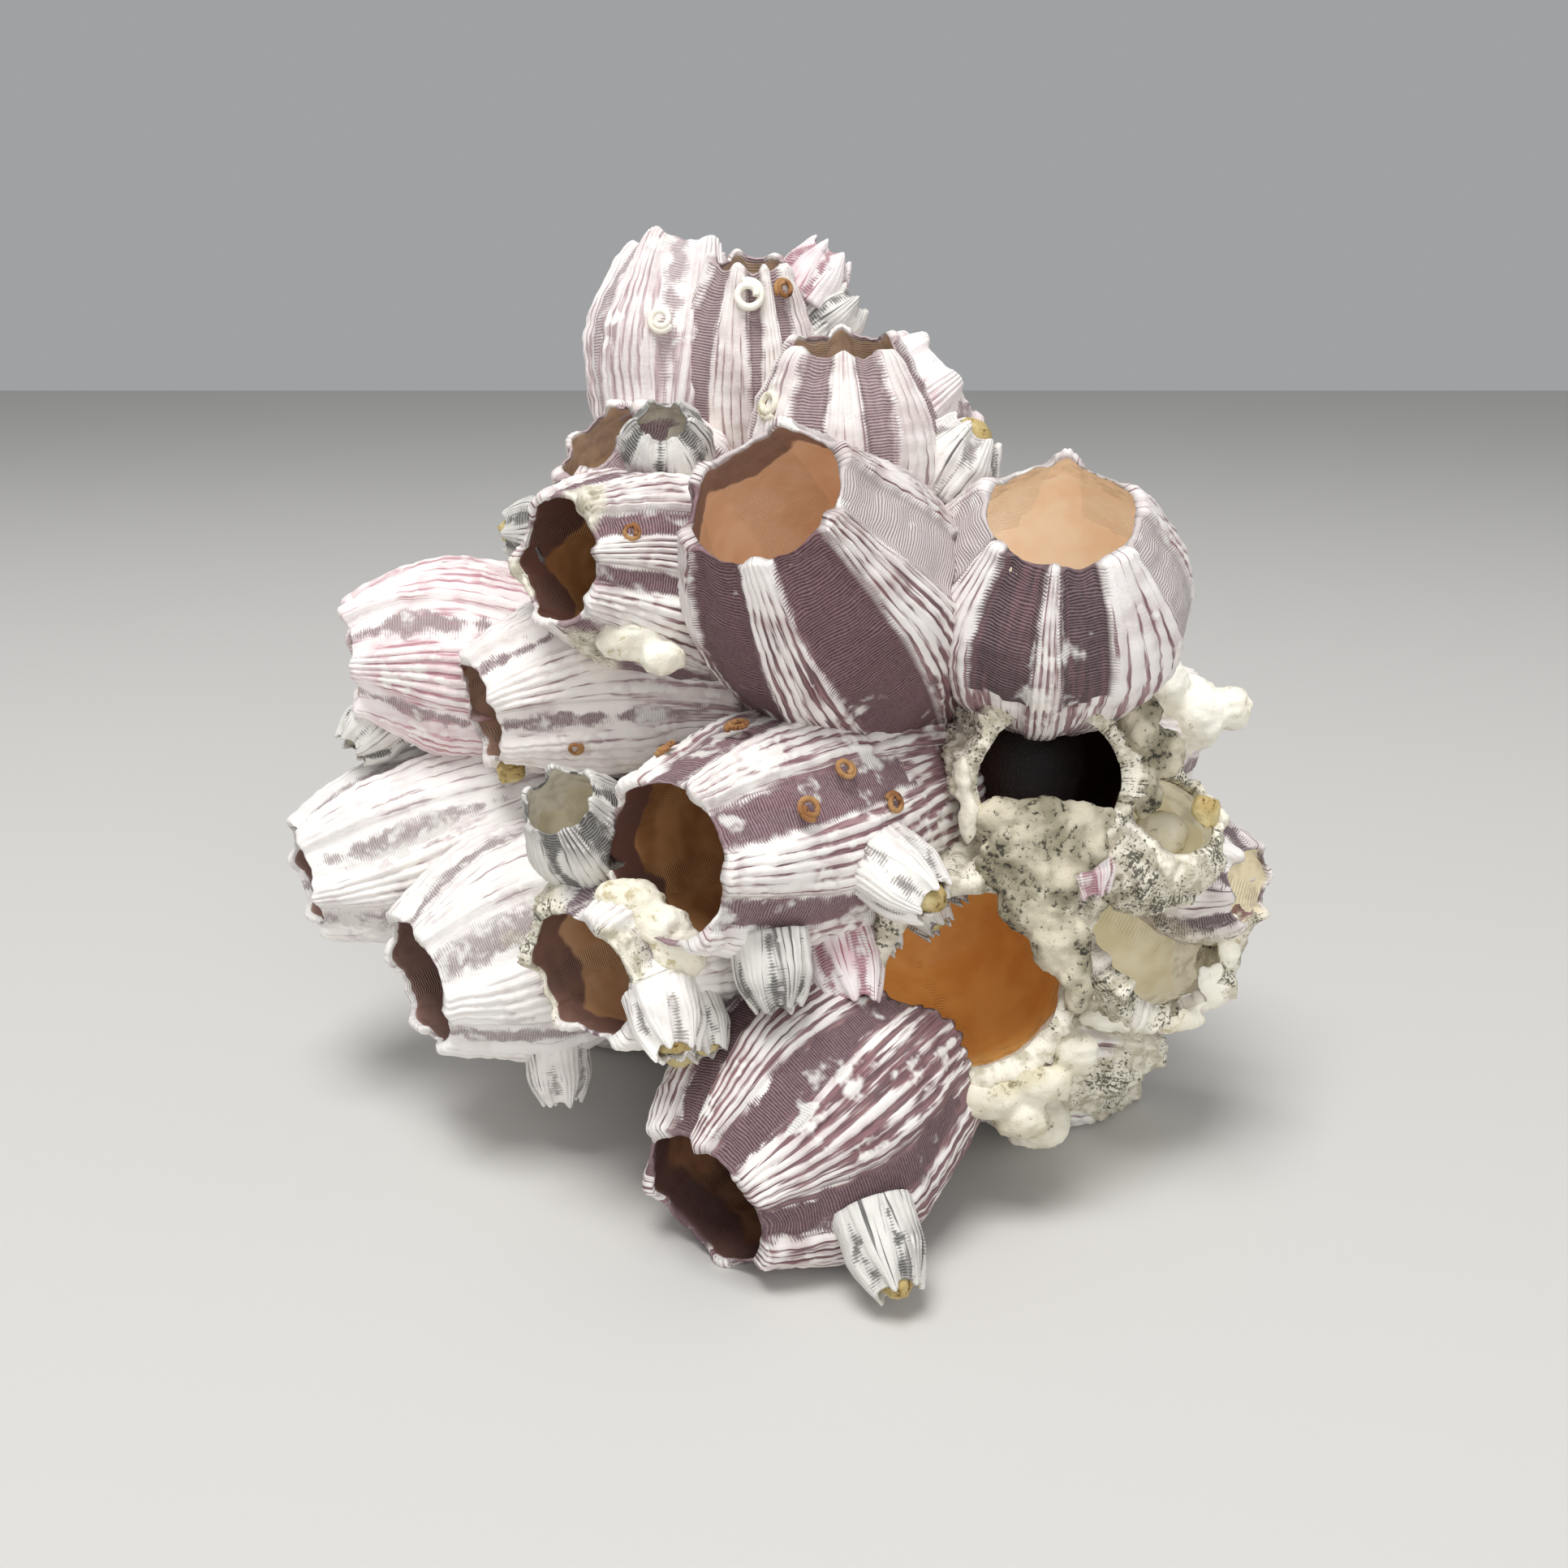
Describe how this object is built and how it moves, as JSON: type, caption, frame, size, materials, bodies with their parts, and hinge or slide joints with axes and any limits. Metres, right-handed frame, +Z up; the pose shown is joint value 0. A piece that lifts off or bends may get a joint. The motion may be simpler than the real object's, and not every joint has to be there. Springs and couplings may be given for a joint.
{
  "type": "barnacle cluster",
  "caption": "Loose cluster of empty giant acorn barnacle shells grown on one another, with open mouths, plated striped walls and young barnacles on them; stands by itself as a natural ornament.",
  "frame": {"origin": "middle of the cluster's bounding box, on the surface that it stands on", "axes": "+Z up, +X to the right and +Y away from a viewer in front, who looks at the side with most open mouths"},
  "size_m": [0.1334, 0.1039, 0.1177],
  "materials": {
    "shell": "chalky white lime shell with maroon stripes"
  },
  "bodies": {
    "root": {"barnacle_right_upper": "shell", "barnacle_center": "shell", "barnacle_front": "shell", "barnacle_broken_large": "shell", "barnacle_front_low": "shell", "barnacle_front_left": "shell", "barnacle_broken_hollow": "shell", "barnacle_small_right": "shell", "barnacle_small_right_outer": "shell", "barnacle_broken_right": "shell", "barnacle_center_left": "shell", "barnacle_left_low": "shell", "barnacle_left_inner": "shell", "barnacle_shoulder_left": "shell", "barnacle_crown": "shell", "barnacle_top": "shell", "barnacle_top_left": "shell", "barnacle_shoulder_right": "shell", "barnacle_left_upper": "shell", "barnacle_left_outer": "shell", "barnacle_small_left": "shell", "barnacle_right_low": "shell", "barnacle_back_low": "shell", "barnacle_back_low_left": "shell", "barnacle_back_low_right": "shell", "barnacle_back": "shell", "barnacle_back_left": "shell", "barnacle_back_right": "shell", "barnacle_back_top": "shell", "barnacle_back_top_left": "shell"}
  },
  "joints": []
}
